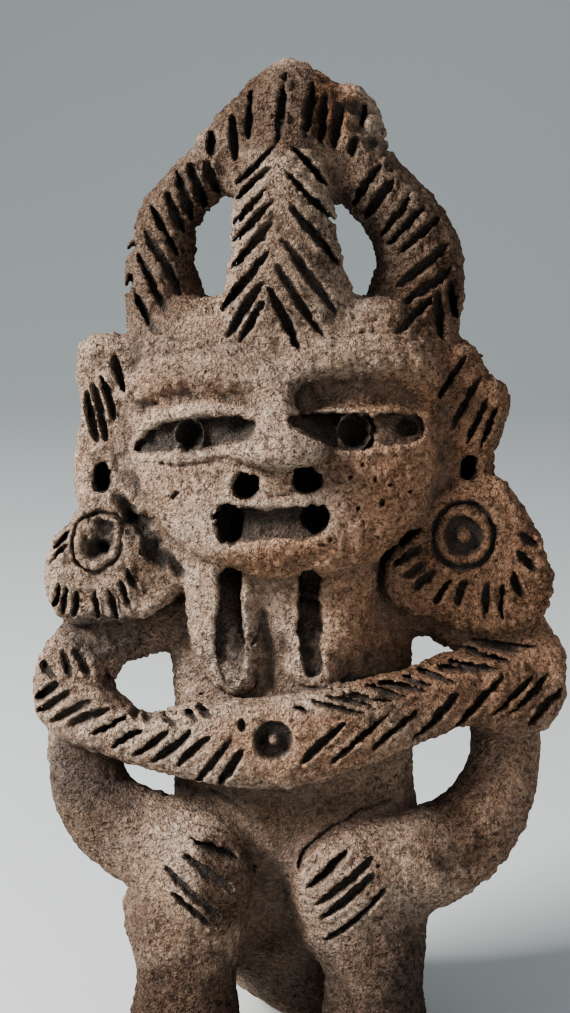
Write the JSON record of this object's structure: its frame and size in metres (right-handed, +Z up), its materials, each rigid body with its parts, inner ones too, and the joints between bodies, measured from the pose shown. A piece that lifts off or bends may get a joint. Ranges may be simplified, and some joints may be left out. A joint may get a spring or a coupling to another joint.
{
  "type": "deity figurine",
  "caption": "Hand-modelled fired-clay seated deity figure with looped headdress, ear spools, scored shoulder band and hands on its knees, standing by its own weight.",
  "frame": {"origin": "bottom centre of the bounding box, in the plane of the soles and the seat", "axes": "+Z up, the figure faces -Y, +X to the viewer's right"},
  "size_m": [0.1104, 0.065, 0.2066],
  "materials": {
    "fired_clay": "matt, gritty and worn, grime in the tool marks"
  },
  "bodies": {
    "root": {"deity_figurine": "fired_clay"}
  },
  "joints": []
}
